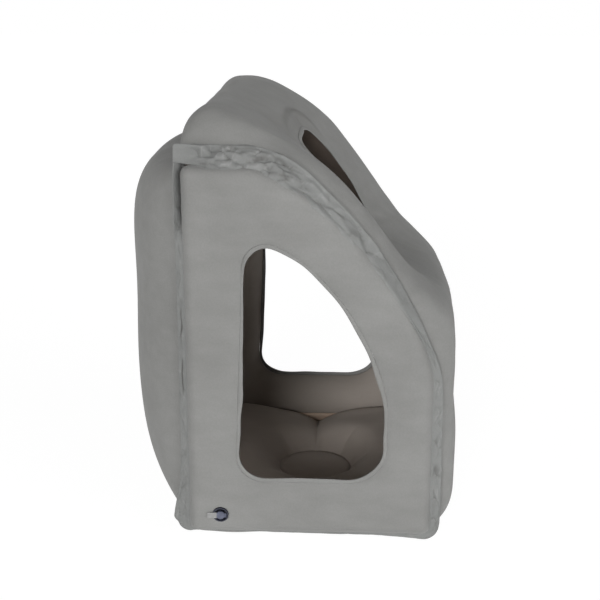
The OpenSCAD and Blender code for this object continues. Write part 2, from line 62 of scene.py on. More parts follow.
# Side walls
SIDE_DEPTH = 0.272
SIDE_HEIGHT = 0.421
TOP_LENGTH = 0.070
FRONT_HEIGHT = 0.185
SLOPE_FULLNESS = 1.46
SIDE_CORNER = 0.009
SIDE_OUT = 0.0210
SIDE_IN = 0.014
SIDE_ROUND = 0.012
PANEL_RISES = {LEFT: 0.005, RIGHT: -0.002}
PANEL_DOME = 0.0020
PANEL_SQUARENESS = 2.6
PANEL_RIPPLE = 0.5
PANEL_RIPPLE_LENGTH = 0.09
SIDE_COLUMNS = 256
SIDE_ROWS = 25

# Arm windows
FRONT_POST = 0.050
WINDOW_BACK = 0.055
WINDOW_LEAN = 0.009
WINDOW_FOOT = 0.064
WINDOW_FRONT = SIDE_DEPTH - FRONT_POST
WINDOW_HEIGHT = 0.273
WINDOW_FRONT_HEIGHT = 0.084
WINDOW_PEAK = 0.026
WINDOW_FULLNESS = 1.55
WINDOW_BACK_RADIUS = 0.031
WINDOW_FRONT_RADIUS = 0.043
WINDOW_CENTRE_SHARE = 0.38
WINDOW_SET_OUTS = {LEFT: 0.0200, RIGHT: 0.0120}
WINDOW_ROUND = 0.006

# Face opening, with keys of (distance from the top of the face wall, share)
OPENING_START = 0.108
OPENING_LENGTH = 0.157
OPENING_WIDTH = 0.100
OPENING_SQUARENESS = 4.0
OPENING_POINTS = 2000
OPENING_LIFT_TOP = 0.027
OPENING_LIFT_LOW = -0.009
OPENING_DROP = 0.0085
OPENING_DROPS = [(0.108, 1), (0.122, 0.9), (0.136, 0.55), (0.152, 0.20), (0.170, 0)]
OPENING_CLIMB = 0.075
OPENING_CLIMB_POWER = 1.3
OPENING_BROW = 0.017
BROW_KEYS = [(0.108, 1), (0.140, 0)]
BROW_RISE = 0.85
BROW_MIDDLE = 0.040
BROW_HALF_WIDTH = 0.095
# BROW_LINE, BROW_LINE_SHADE and BROW_SHADE paint shade on the face wall: a dark line at the brow's edge and
# darker shade within it
BROW_LINE = 0.003
BROW_LINE_SHADE = 0.65
BROW_SHADE = 0.25

# Face wall, with keys of (distance from its top, height)
FACE_CROWNS = [
    (0, 0.0600), (0.040, 0.0575), (0.055, 0.0530), (0.070, 0.0440), (0.085, 0.0385), (0.105, 0.0360),
    (0.135, 0.0330), (0.170, 0.0275), (0.200, 0.0230), (0.240, 0.0188), (0.262, 0.0180), (0.280, 0.0190),
    (0.301, 0.0235), (0.321, 0.0310), (0.338, 0.0370), (0.355, 0.0345), (0.385, 0.0245), (0.429, 0.0230),
    (0.478, 0.0265), (0.515, 0.0270), (0.580, 0.0270),
]
FACE_MIDDLES = [
    (0, 0.004), (0.050, 0.002), (0.095, 0.001), (0.125, -0.003), (0.270, 0), (0.330, 0.004), (0.450, 0.007),
    (0.580, 0.007),
]
FACE_TILTS = [
    (0, 0), (0.040, 0.002), (0.060, 0.0070), (0.085, 0.0100), (0.110, 0.0085), (0.135, 0.0060),
    (0.170, 0.0020), (0.210, 0),
]
FACE_IN = 0.020
FACE_SIDE_ROUND = 0.036
FACE_TOP_ROUND = 0.0395
FACE_TOE_ROUND = 0.040
FACE_OVERHANG = 0.0100
FACE_OVERHANG_RUN = 0.058
FACE_OVERHANG_X = 0.134
FACE_OVERHANG_ROUND = 0.006
FACE_RIPPLE = 0.015
FACE_RIPPLE_LENGTH = 0.10
FACE_LINE_POINTS = 1200
FACE_COLUMNS = 300
FACE_ROWS = 41
TURN_STRETCH = 0.030

# Back wall
BACK_OUT = 0.0722
BACK_IN = 0.038
BACK_OVERHANG = 0.0155
BACK_OVERHANG_POWER = 3
BACK_SIDE_POWER = 2.4
BACK_SIDE_FULLNESS = 0.6
BACK_FOOT_POWER = 4
BACK_TOP_POWER = 7
BACK_END_FULLNESS = 0.65
BACK_RIPPLE = 0.01
BACK_RIPPLE_LENGTH = 0.12
BACK_COLUMNS = 61
BACK_ROWS = 77

# Base wall and its sunken disc
BASE_OUT = 0.013
BASE_IN = 0.034
BASE_EDGE_ROUND = 0.030
BASE_CONE_RUN = 0.048
BASE_RIPPLE = 0.04
BASE_RIPPLE_LENGTH = 0.07
BASE_COLUMNS = 400
BASE_ROWS = 25
BASE_DISC_RADIUS = 0.044
BASE_DISC_BACK = 0.137
BASE_DISC_LIFT = 0.005
BASE_DISC_RUN = 0.030
BASE_DISC_ROUND = 0.024
PINCH_DEPTH = 0.95
PINCH_HALF_WIDTH = 0.045
# The pinch line is painted shade along the fold across the base, beside the disc
PINCH_LINE = 0.0022
PINCH_LINE_START = 0.095
PINCH_LINE_FADE = 0.030
PINCH_LINE_SHADE = 0.8


# Paths and profiles

FACING_POINTS = 4000
GAP_POINTS = 1600
GAP_BATCH = 2000
KEY_BLUR = 0.018
BLUR_STEPS = 9
RIPPLE_SPREAD = (0.7, 1.6)
FACET_HEIGHT = 0.5
FACET_FLOOR = -1.0
FACET_TURN = 0.7
FACET_CURVE = 0.7
# CREASE_SOFTNESS sets how far the closeness to a crease spreads; the fins take painted shade in their creases
# and painted light on their wrinkle ridges from it
CREASE_SOFTNESS = 0.13


def arc(centre, radius, start, stop, steps=16):
    """Points on a circular arc, with angles in degrees."""
    angles = np.radians(np.linspace(start, stop, steps))
    return np.array(centre) + radius * np.stack([np.cos(angles), np.sin(angles)], axis=1)


def slope(corner, run, rise, fullness, steps=90):
    """Points on a quarter of a superellipse, from its front foot to its top."""
    angles = np.radians(np.linspace(0, 90, steps))
    across = np.clip(np.cos(angles), 0, 1) ** (2 / fullness)
    upward = np.clip(np.sin(angles), 0, 1) ** (2 / fullness)
    return np.array(corner) + np.stack([run * across, rise * upward], axis=1)


def evenly(path, count, closed=True):
    """The path again, in a number of even steps."""
    if closed:
        path = np.concatenate([path, path[:1]])
    steps = np.linalg.norm(np.diff(path, axis=0), axis=1)
    along = np.concatenate([[0], np.cumsum(steps)])
    wanted = np.linspace(0, along[-1], count + 1 if closed else count)
    if closed:
        wanted = wanted[:-1]
    return np.stack([np.interp(wanted, along, path[:, axis]) for axis in range(path.shape[1])], axis=1)


def facing(path, centre, points):
    """Points of a closed path that lie in the same directions from its centre as other points do."""
    dense = evenly(path, FACING_POINTS) - centre
    angles = np.arctan2(dense[:, 1], dense[:, 0])
    order = np.argsort(angles)
    reach = np.linalg.norm(dense, axis=1)
    away = points - centre
    wanted = np.arctan2(away[:, 1], away[:, 0])
    radius = np.interp(wanted, angles[order], reach[order], period=2 * math.pi)
    return centre + radius[:, None] * np.stack([np.cos(wanted), np.sin(wanted)], axis=1)


def gap(points, path):
    """Distance from each point to a closed path."""
    dense = evenly(path, GAP_POINTS)
    flat = points.reshape(-1, 2)
    nearest = np.empty(len(flat))
    for start in range(0, len(flat), GAP_BATCH):
        part = flat[start:start + GAP_BATCH]
        away = part[:, None, :] - dense[None, :, :]
        nearest[start:start + GAP_BATCH] = np.sqrt((away ** 2).sum(axis=2).min(axis=1))
    return nearest.reshape(points.shape[:-1])


def rounded(share):
    """Height of a quarter circle at a share of its run: 0 at the weld and 1 once clear of it."""
    left = 1 - np.clip(share, 0, 1)
    return np.sqrt(1 - left * left)


def squared(share):
    """Height of a squarer round at a share of its run."""
    left = 1 - np.clip(share, 0, 1)
    return (1 - left ** PANEL_SQUARENESS) ** (1 / PANEL_SQUARENESS)


def squared_run(height):
    """Share of the run at which the squarer round has a height."""
    return 1 - (1 - np.clip(height, 0, 1) ** PANEL_SQUARENESS) ** (1 / PANEL_SQUARENESS)


def eased(share):
    """A smooth rise from 0 to 1 over a share."""
    part = np.clip(share, 0, 1)
    return part * part * (3 - 2 * part)


def arched(share):
    """An even arch over a share: 0 at both ends and 1 in the middle."""
    return 4 * share * (1 - share)


def line_at(distance, half_width):
    """A soft line: 1 on it, and fading out over its half width."""
    return np.exp(-((distance / half_width) ** 2))


def crowded(count):
    """Shares from 0 to 1 that are closer together at both ends."""
    return (1 - np.cos(np.linspace(0, math.pi, count))) / 2


def swept(value, keys, blur=KEY_BLUR):
    """Value at a place between keys of (place, value), with its corners smoothed over a blur."""
    places = [key[0] for key in keys]
    values = [key[1] for key in keys]
    total = 0
    weights = np.hanning(BLUR_STEPS + 2)[1:-1]
    for shift, weight in zip(np.linspace(-blur, blur, BLUR_STEPS), weights):
        total = total + weight * np.interp(value + shift, places, values)
    return total / weights.sum()


class Ripple:
    """A smooth random field over two distances, the same on every run."""

    def __init__(self, seed, length, waves=7):
        maker = np.random.default_rng(seed)
        turns = maker.uniform(0, 2 * math.pi, waves)
        lengths = length * maker.uniform(*RIPPLE_SPREAD, waves)
        self.first_rates = np.cos(turns) / lengths
        self.second_rates = np.sin(turns) / lengths
        self.phases = maker.uniform(0, 2 * math.pi, waves)

    def at(self, first, second):
        """Height of the field at each place."""
        total = 0
        for first_rate, second_rate, phase in zip(self.first_rates, self.second_rates, self.phases):
            total = total + np.sin(2 * math.pi * (first_rate * first + second_rate * second) + phase)
        return total / math.sqrt(len(self.phases))


class Crumple:
    """Puffed facets between sharp creases along a strip, the same on every run."""

    def __init__(self, seed, length, width, facet, stretch):
        maker = np.random.default_rng(seed)
        count = int(length * width / (stretch * facet * facet))
        self.centres = maker.uniform([0, -width / 2], [length, width], (count, 2))
        self.heights = maker.uniform(0, FACET_HEIGHT, count)
        self.turns = maker.uniform(-FACET_TURN, FACET_TURN, count)
        self.facet = facet
        self.stretch = stretch

    def at(self, first, second):
        """Height of the facets, and how close a place is to a crease between two of them."""
        shape = np.broadcast(first, second).shape
        highest = np.full(shape, FACET_FLOOR)
        second_highest = np.full(shape, 2 * FACET_FLOOR)
        for (along, across), turn, height in zip(self.centres, self.turns, self.heights):
            ahead = (first - along) * math.cos(turn) + (second - across) * math.sin(turn)
            aside = (second - across) * math.cos(turn) - (first - along) * math.sin(turn)
            fall = (ahead / (self.stretch * self.facet)) ** 2 + (aside / self.facet) ** 2
            value = height - FACET_CURVE * fall
            second_highest = np.maximum(second_highest, np.minimum(highest, value))
            highest = np.maximum(highest, value)
        return highest, np.exp((second_highest - highest) / CREASE_SOFTNESS)


slope_line = slope(
    [TOP_LENGTH, FRONT_HEIGHT], SIDE_DEPTH - TOP_LENGTH, SIDE_HEIGHT - FRONT_HEIGHT, SLOPE_FULLNESS
)
side_path = np.concatenate([
    arc([SIDE_CORNER, SIDE_CORNER], SIDE_CORNER, 180, 270),
    arc([SIDE_DEPTH - SIDE_CORNER, SIDE_CORNER], SIDE_CORNER, 270, 360),
    slope_line,
    arc([SIDE_CORNER, SIDE_HEIGHT - SIDE_CORNER], SIDE_CORNER, 90, 180),
])
window_peak_place = WINDOW_BACK + WINDOW_LEAN + WINDOW_PEAK
window_top = WINDOW_FOOT + WINDOW_HEIGHT
window_slope_foot = WINDOW_FOOT + WINDOW_FRONT_HEIGHT
window_path = np.concatenate([
    arc([WINDOW_BACK + WINDOW_BACK_RADIUS, WINDOW_FOOT + WINDOW_BACK_RADIUS], WINDOW_BACK_RADIUS, 180, 270),
    arc(
        [WINDOW_FRONT - WINDOW_FRONT_RADIUS, WINDOW_FOOT + WINDOW_FRONT_RADIUS], WINDOW_FRONT_RADIUS, 270, 360
    ),
    slope(
        [window_peak_place, window_slope_foot], WINDOW_FRONT - window_peak_place,
        window_top - window_slope_foot, WINDOW_FULLNESS,
    ),
    arc([window_peak_place, window_top - WINDOW_PEAK], WINDOW_PEAK, 90, 180),
])
side_centre = np.array([
    (WINDOW_BACK + WINDOW_FRONT) / 2, WINDOW_FOOT + WINDOW_HEIGHT * WINDOW_CENTRE_SHARE
])

face_line = evenly(
    np.concatenate([[[0, SIDE_HEIGHT]], slope_line[::-1], [[SIDE_DEPTH, 0]]]), FACE_LINE_POINTS, closed=False
)
face_along = np.concatenate([[0], np.cumsum(np.linalg.norm(np.diff(face_line, axis=0), axis=1))])
FACE_LENGTH = face_along[-1]

opening_centre = np.array([0, OPENING_START + OPENING_LENGTH / 2])
opening_angles = np.linspace(0, 2 * math.pi, OPENING_POINTS, endpoint=False)
opening_reach = (
    (np.abs(np.cos(opening_angles)) / (OPENING_WIDTH / 2)) ** OPENING_SQUARENESS
    + (np.abs(np.sin(opening_angles)) / (OPENING_LENGTH / 2)) ** OPENING_SQUARENESS
) ** (-1 / OPENING_SQUARENESS)
opening_path = opening_centre + opening_reach[:, None] * np.stack(
    [np.cos(opening_angles), np.sin(opening_angles)], axis=1
)


def in_frame(x, forward, height):
    """Places in the shared frame, from sideways, forward and upward distances."""
    return np.stack(np.broadcast_arrays(x, BACK_Y - forward, FOOT_Z + height), axis=-1)


def on_side(side, out, flat):
    """Places at a distance out from a side wall's weld plane, where its panel also lies higher or lower."""
    raised = PANEL_RISES[side] * np.maximum(out, 0) / SIDE_OUT
    return in_frame(side * (PLANE_X + out), flat[..., 0], flat[..., 1] + raised)


def on_face_line(along):
    """Place on the weld line of the face wall at a distance from its top."""
    return np.stack([np.interp(along, face_along, face_line[:, axis]) for axis in (0, 1)], axis=-1)


def on_face(x, along, lift):
    """Places over the face wall's weld line, by a height outwards from it."""
    ahead = on_face_line(np.minimum(along + TURN_STRETCH, FACE_LENGTH))
    behind = on_face_line(np.maximum(along - TURN_STRETCH, 0))
    run = ahead - behind
    run /= np.linalg.norm(run, axis=-1, keepdims=True)
    base = on_face_line(along)
    forward = base[..., 0] - lift * run[..., 1]
    height = base[..., 1] + lift * run[..., 0]
    return in_frame(x, forward, height)


def opening_lift(x, along):
    """Height of the opening's weld above the wall's weld line, less at the left of its top."""
    places = [OPENING_START, OPENING_START + OPENING_LENGTH]
    drop = OPENING_DROP * np.clip(-2 * x / OPENING_WIDTH, 0, 1) * swept(along, OPENING_DROPS)
    return np.interp(along, places, [OPENING_LIFT_TOP, OPENING_LIFT_LOW]) - drop


# Meshes


def quads_of(index, ring):
    """Four-sided faces of a grid of point numbers, closed along its columns if it is a ring."""
    after = np.roll(index, -1, axis=1) if ring else index[:, 1:]
    here = index if ring else index[:, :-1]
    return np.stack([here[:-1], after[:-1], after[1:], here[1:]], axis=-1).reshape(-1, 4)


def new_piece(name, points, faces):
    """A smooth mesh object made of points and faces."""
    mesh = bpy.data.meshes.new(name)
    mesh.from_pydata(points.tolist(), [], faces)
    mesh.polygons.foreach_set("use_smooth", [True] * len(mesh.polygons))
    mesh.update()
    piece = bpy.data.objects.new(name, mesh)
    bpy.context.scene.collection.objects.link(piece)
    return piece


def closed_piece(name, points, faces):
    """A closed piece whose four-sided faces point outwards."""
    corners = points[faces]
    volume = np.einsum("ij,ij->i", corners[:, 0], np.cross(corners[:, 1], corners[:, 2])).sum()
    volume += np.einsum("ij,ij->i", corners[:, 0], np.cross(corners[:, 2], corners[:, 3])).sum()
    if volume < 0:
        faces = faces[:, ::-1]
    return new_piece(name, points, faces.tolist())


def air_wall(name, outer, inner, ring):
    """A closed wall between two grids of points that share their welded edges."""
    rows, columns = outer.shape[:2]
    outer_index = np.arange(rows * columns).reshape(rows, columns)
    inside = np.ones((rows, columns), bool)
    inside[[0, -1]] = False
    if not ring:
        inside[:, [0, -1]] = False
    inner_index = outer_index.copy()
    inner_index[inside] = rows * columns + np.arange(inside.sum())
    points = np.concatenate([outer.reshape(-1, 3), inner[inside]])
    faces = np.concatenate([quads_of(outer_index, ring), quads_of(inner_index, ring)[:, ::-1]])
    piece = closed_piece(name, points, faces)
    inner_side = np.zeros(len(faces), int)
    inner_side[len(faces) // 2:] = 1
    piece.data.polygons.foreach_set("material_index", inner_side)
    weld = piece.vertex_groups.new(name="weld")
    weld.add(outer_index[~inside].tolist(), 1, "REPLACE")
    return piece


def strip(name, rows, ring, thickness, capped=False):
    """A thin sheet along rows of points, given its thickness, with its first row filled if it is capped."""
    count, columns = rows.shape[:2]
    index = np.arange(count * columns).reshape(count, columns)
    faces = quads_of(index, ring).tolist()
    if capped:
        faces.append(index[0, ::-1].tolist())
    piece = new_piece(name, rows.reshape(-1, 3), faces)
    wall = piece.modifiers.new("Thickness", "SOLIDIFY")
    wall.thickness = thickness
    wall.offset = 0
    return piece


def mark(piece, name, values):
    """A number at each point of a piece for its material to use."""
    layer = piece.data.attributes.new(name, "FLOAT", "POINT")
    layer.data.foreach_set("value", values.ravel())


def places_of(mesh):
    """The points of a mesh as an array."""
    flat = np.empty(len(mesh.vertices) * 3)
    mesh.vertices.foreach_get("co", flat)
    return flat.reshape(-1, 3)


# Walls


def side_wall(name, side, seed):
    """One side wall with its window, drawn between the window's edge and the wall's own."""
    edge = evenly(side_path, SIDE_COLUMNS)
    window = facing(window_path, side_centre, edge)
    shares = crowded(SIDE_ROWS)[:, None]
    flat = window + shares[..., None] * (edge - window)
    belly = arched(shares)
    weld = WINDOW_SET_OUTS[side] * (1 - shares) ** 2
    full = squared(gap(flat, side_path) / SIDE_ROUND) * squared(gap(flat, window_path) / WINDOW_ROUND)
    ripple = 1 + PANEL_RIPPLE * Ripple(seed, PANEL_RIPPLE_LENGTH).at(flat[..., 0], flat[..., 1])
    crown = SIDE_OUT + PANEL_DOME * belly * ripple
    out = weld + (crown - weld) * full
    inward = weld - (SIDE_IN + weld) * belly
    return air_wall(name, on_side(side, out, flat), on_side(side, inward, flat), ring=True)


def face_wall(name, seed):
    """The sloping wall with the face opening, drawn as (sideways, distance from its top)."""
    low = BEAD
    high = FACE_LENGTH - BEAD
    frame_path = np.array([[INNER_X, low], [INNER_X, high], [-INNER_X, high], [-INNER_X, low]])
    edge = evenly(frame_path, FACE_COLUMNS)
    opening = facing(opening_path, opening_centre, edge)
    shares = crowded(FACE_ROWS)[:, None]
    flat = opening + shares[..., None] * (edge - opening)
    x = flat[..., 0]
    along = flat[..., 1]

    tilt = swept(along, FACE_TILTS) * x / INNER_X
    sides = (swept(along, FACE_CROWNS) + tilt) * rounded((INNER_X - np.abs(x)) / FACE_SIDE_ROUND)
    middle = swept(along, FACE_MIDDLES) * np.clip(1 - (x / (INNER_X - FACE_SIDE_ROUND)) ** 2, 0, 1)
    ends = rounded((along - low) / FACE_TOP_ROUND) * rounded((high - along) / FACE_TOE_ROUND)
    crown = (sides + middle) * ends * (1 + FACE_RIPPLE * Ripple(seed, FACE_RIPPLE_LENGTH).at(x, along))

    rim = opening_lift(opening[None, :, 0], opening[None, :, 1])
    away = gap(flat, opening_path)
    even = 1 - (1 - np.clip(away / OPENING_CLIMB, 0, 1)) ** OPENING_CLIMB_POWER
    brow = swept(along, BROW_KEYS) * np.clip(1 - ((x - BROW_MIDDLE) / BROW_HALF_WIDTH) ** 2, 0, 1)
    step = BROW_RISE * np.clip(away / OPENING_BROW, 0, 1) + (1 - BROW_RISE) * even
    climb = even + (step - even) * brow
    out = rim + (crown - rim) * climb
    out[-1] = 0
    inward = rim * (1 - shares) - FACE_IN * arched(shares)

    outer = on_face(x, along, out)
    behind = np.sqrt(np.clip((along - low) / FACE_OVERHANG_RUN, 0, 1))
    corner = np.clip(-x / FACE_OVERHANG_X, 0, 1) * rounded((INNER_X - np.abs(x)) / FACE_OVERHANG_ROUND)
    outer[..., 1] += FACE_OVERHANG * arched(behind) * corner
    wall = air_wall(name, outer, on_face(x, along, inward), ring=True)

    # Painted shade round the top of the face opening: a dark line where the brow steps down and darker shade
    # on the step, marked as crease for the flock's colour
    line = BROW_LINE_SHADE * line_at(away - OPENING_BROW, BROW_LINE)
    hollow_shade = BROW_SHADE * np.clip((OPENING_BROW - away) / BROW_LINE, 0, 1)
    creases = np.zeros(len(wall.data.vertices))
    creases[:away.size] = (np.maximum(line, hollow_shade) * brow).ravel()
    mark(wall, "crease", creases)
    return wall


def back_wall(name, seed):
    """The bulging back wall, squarer at its top than at its foot."""
    aside = 2 * crowded(BACK_COLUMNS)[None, :] - 1
    upright = 2 * crowded(BACK_ROWS)[:, None] - 1
    share = (upright + 1) / 2
    end_power = np.where(upright < 0, BACK_FOOT_POWER, BACK_TOP_POWER)
    across = (1 - np.abs(aside) ** BACK_SIDE_POWER) ** BACK_SIDE_FULLNESS
    upward = (1 - np.abs(upright) ** end_power) ** BACK_END_FULLNESS
    bulge = across * upward
    x, height = np.broadcast_arrays(aside * INNER_X, BEAD + (SIDE_HEIGHT - 2 * BEAD) * share)
    out = BACK_OUT * bulge * (1 + BACK_RIPPLE * Ripple(seed, BACK_RIPPLE_LENGTH).at(x, height))
    over = BACK_OVERHANG * bulge * share ** BACK_OVERHANG_POWER
    inward = BACK_IN * (1 - aside ** 2) * (1 - upright ** 2)
    return air_wall(name, in_frame(x, -out, height + over), in_frame(x, inward, height), ring=False)


def base_wall(name, seed):
    """The base wall round its sunken disc, drawn as (sideways, forward) and flat where it stands."""
    low = BEAD
    high = SIDE_DEPTH - BEAD
    frame_path = np.array([[-INNER_X, low], [INNER_X, low], [INNER_X, high], [-INNER_X, high]])
    centre = np.array([0, BASE_DISC_BACK])
    edge = evenly(frame_path, BASE_COLUMNS)
    away = edge - centre
    rim = centre + BASE_DISC_RADIUS * away / np.linalg.norm(away, axis=1, keepdims=True)
    flat = rim + crowded(BASE_ROWS)[:, None, None] * (edge - rim)
    x = flat[..., 0]
    forward = flat[..., 1]

    from_disc = np.linalg.norm(flat - centre, axis=2) - BASE_DISC_RADIUS
    lobe = rounded(gap(flat, frame_path) / BASE_EDGE_ROUND)
    down = BASE_OUT * lobe * rounded(from_disc / BASE_DISC_ROUND)
    near = np.exp(-np.abs(forward - BASE_DISC_BACK) / PINCH_HALF_WIDTH)
    pinch = 1 - PINCH_DEPTH * near * np.clip(np.abs(x) / INNER_X, 0, 1)
    cone = np.sin(np.clip(from_disc / BASE_CONE_RUN, 0, 1) * math.pi / 2)
    ripple = 1 + BASE_RIPPLE * Ripple(seed, BASE_RIPPLE_LENGTH).at(x, forward)
    up = BASE_IN * cone * lobe * pinch * ripple
    lift = BASE_DISC_LIFT * np.clip(1 - from_disc / BASE_DISC_RUN, 0, 1) ** 2
    wall = air_wall(name, in_frame(x, forward, lift - down), in_frame(x, forward, lift + up), ring=True)

    # Painted shade along the fold across the base's top sheet at the pinch, marked as crease for the flock's
    # colour
    line = PINCH_LINE_SHADE * line_at(forward - BASE_DISC_BACK, PINCH_LINE)
    line = line * np.clip((np.abs(x) - PINCH_LINE_START) / PINCH_LINE_FADE, 0, 1)
    creases = np.zeros(len(wall.data.vertices))
    creases[x.size:] = line[1:-1].ravel()
    mark(wall, "crease", creases)
    return wall


# Air in the walls: how much a wall may grow, as a share, and how far its points may move

SIDE_GROWTH = 0.02
WALL_GROWTH = 0.03
SIDE_REACH = 0.0006
FACE_REACH = 0.0012
BACK_REACH = 0.0015
BASE_REACH = 0.0030
AIR_FRAMES = 20
AIR_ROUNDS = 8
AIR_CLOTH = {
    "quality": 6,
    "mass": 0.2,
    "tension_stiffness": 20,
    "compression_stiffness": 20,
    "shear_stiffness": 8,
    "bending_stiffness": 0.3,
    "air_damping": 3,
    "vertex_group_mass": "weld",
    "use_pressure": True,
    "uniform_pressure_force": 4,
}
TINY = 1e-9

# Seat of the valve in the left wall
VALVE_TILT = 6
VALVE_SEAT_RADIUS = 0.0091
VALVE_SEAT_DEPTH = 0.022
VALVE_SEAT_SIDES = 64


def evened(mesh, values, rounds):
    """Values at the points of a mesh, each averaged with its neighbours' a number of times."""
    ends = np.empty(len(mesh.edges) * 2, int)
    mesh.edges.foreach_get("vertices", ends)
    first, second = ends.reshape(-1, 2).T
    count = 1.0 + np.bincount(ends, minlength=len(values))[:, None]
    for step in range(rounds):
        total = values.copy()
        np.add.at(total, first, values[second])
        np.add.at(total, second, values[first])
        values = total / count
    return values


def blow_up(walls):
    """Lets air swell the walls as cloth that is held at its welds, each no further than its reach."""
    scene = bpy.context.scene
    for piece, growth, reach in walls:
        cloth = piece.modifiers.new("Air", "CLOTH")
        for name, value in AIR_CLOTH.items():
            setattr(cloth.settings, name, value)
        cloth.settings.shrink_min = -growth
        cloth.settings.effector_weights.gravity = 0
        cloth.point_cache.frame_start = 1
        cloth.point_cache.frame_end = AIR_FRAMES
    for step in range(1, AIR_FRAMES + 1):
        scene.frame_set(step)
    graph = bpy.context.evaluated_depsgraph_get()
    swollen = [places_of(piece.evaluated_get(graph).data) for piece, growth, reach in walls]
    for (piece, growth, reach), places in zip(walls, swollen):
        piece.modifiers.remove(piece.modifiers["Air"])
        start = places_of(piece.data)
        move = evened(piece.data, places - start, AIR_ROUNDS)
        length = np.linalg.norm(move, axis=1, keepdims=True)
        kept = start + move * (reach * np.tanh(length / reach) / np.maximum(length, TINY))
        kept[:, 2] = np.maximum(kept[:, 2], 0)
        piece.data.vertices.foreach_set("co", kept.ravel())
        piece.data.update()
    scene.frame_set(1)


def finer(piece):
    """One level of subdivision on a finished soft piece."""
    smooth = piece.modifiers.new("Smooth", "SUBSURF")
    smooth.levels = 1
    smooth.render_levels = 1


def seat_valve(wall):
    """A round pit in a finished wall that takes the valve's cup."""
    low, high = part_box("valve_cup")
    bpy.ops.object.select_all(action="DESELECT")
    bpy.ops.mesh.primitive_cylinder_add(
        vertices=VALVE_SEAT_SIDES, radius=VALVE_SEAT_RADIUS, depth=VALVE_SEAT_DEPTH,
        location=(low + high) / 2, rotation=(0, math.radians(90 - VALVE_TILT), 0),
    )
    cutter = bpy.context.object
    pit = wall.modifiers.new("Valve seat", "BOOLEAN")
    pit.object = cutter
    bpy.context.view_layer.objects.active = wall
    for name in ("Smooth", "Valve seat"):
        bpy.ops.object.modifier_apply(modifier=name)
    bpy.data.objects.remove(cutter)


left_wall = side_wall("left_wall", LEFT, SEED)
right_wall = side_wall("right_wall", RIGHT, SEED + 1)
sloping_wall = face_wall("face_wall", SEED + 2)
rear_wall = back_wall("back_wall", SEED + 3)
floor_wall = base_wall("base_wall", SEED + 4)
walls = [left_wall, right_wall, sloping_wall, rear_wall, floor_wall]
blow_up([
    (left_wall, SIDE_GROWTH, SIDE_REACH),
    (right_wall, SIDE_GROWTH, SIDE_REACH),
    (sloping_wall, WALL_GROWTH, FACE_REACH),
    (rear_wall, WALL_GROWTH, BACK_REACH),
    (floor_wall, WALL_GROWTH, BASE_REACH),
])
for wall in walls:
    finer(wall)
seat_valve(left_wall)


# Weld fins along the edges of the side walls, with keys of (distance along from the loose flap, value)

FIN_WIDTHS = [
    (0, 0.017), (0.003, 0.020), (0.020, 0.0215), (0.087, 0.0215), (0.107, 0.0225), (0.132, 0.0205),
    (0.160, 0.016), (0.220, 0.012), (0.260, 0.009), (0.300, 0.006), (0.345, 0.005), (0.385, 0.007),
    (0.420, 0.010), (0.540, 0.011), (0.575, 0.011), (0.600, 0.006), (0.640, 0.003), (0.835, 0.001),
    (0.853, 0.001), (0.861, 0.011), (0.870, 0.018), (0.886, 0.016), (0.910, 0.011), (0.940, 0.008),
    (1.235, 0.007), (1.262, 0.006), (1.272, 0.005),
]
FIN_ROOTS = [
    (0, 0.006), (0.016, 0.007), (0.034, 0.016), (0.060, 0.0175), (0.260, 0.0175), (0.310, 0.015),
    (0.345, 0.012), (0.385, 0.009), (0.540, 0.009), (0.600, 0.006), (0.820, 0.004), (0.860, 0.006),
    (0.900, 0.012), (1.190, 0.012), (1.220, 0.001), (1.272, 0.001),
]
FIN_OVERS = [
    (0, 0), (0.028, 0), (0.045, 0.005), (0.080, 0.008), (0.230, 0.008), (0.300, 0.004), (0.345, 0),
    (1.272, 0),
]
FIN_TIPS = [
    (0, 0.003), (0.050, 0.001), (0.260, 0.001), (0.385, 0.004), (0.600, 0.005), (0.820, 0.005),
    (0.900, 0.003), (1.190, 0.004), (1.220, 0.014), (1.272, 0.016),
]
FIN_CRUMPLES = [
    (0, 0), (0.014, 0.0008), (0.030, 0.0050), (0.060, 0.0056), (0.110, 0.0056), (0.200, 0.0038),
    (0.260, 0.0026), (0.320, 0.0012), (0.385, 0.0022), (0.500, 0.0026), (0.560, 0.0030), (0.579, 0.0026),
    (0.620, 0.0008), (0.800, 0.0006), (0.851, 0.0012), (0.880, 0.0026), (0.920, 0.0016), (1.240, 0.0016),
    (1.272, 0),
]
# Strength of the painted shade in the fin's creases, along its length
FIN_CREASE_SHADES = [
    (0, 0), (0.018, 0.1), (0.030, 0.75), (0.100, 0.75), (0.150, 0.55), (0.230, 0.45), (0.280, 0.25),
    (0.330, 0.05), (0.385, 0.30), (0.560, 0.50), (0.600, 0.30), (0.650, 0), (0.850, 0), (0.880, 0.50),
    (0.930, 0.35), (1.230, 0.35), (1.272, 0.2),
]
# Strength of the painted shade lines along the fin's rim: under the top of the fin and in two stretches up
# the back edge
FIN_RIM_SHADES = [
    (0, 0), (0.040, 0), (0.060, 0.5), (0.110, 0.4), (0.170, 0), (1.020, 0), (1.030, 0.9), (1.058, 0.9),
    (1.068, 0), (1.080, 0), (1.090, 0.9), (1.116, 0.9), (1.126, 0), (1.272, 0),
]
FIN_PATTERN = [(0, 0), (0.110, 0.110), (0.330, 0.230), (0.600, 0.430), (1.272, 0.900)]
FIN_LENGTH = 1.272
FIN_COLUMNS = 1600
FIN_ROWS = 23
FIN_SPAN = 0.024
FIN_BLUR = 0.006
FIN_WIDTH_BLUR = 0.003
FIN_LEAN_RATE = 3
FIN_FACET = 0.0055
FIN_FACET_STRETCH = 2.8
FIN_WRINKLE = 0.0050
FIN_WRINKLE_STRETCH = 2.6
FIN_WRINKLE_SHARE = 0.7
FIN_WRINKLE_SEED = 5
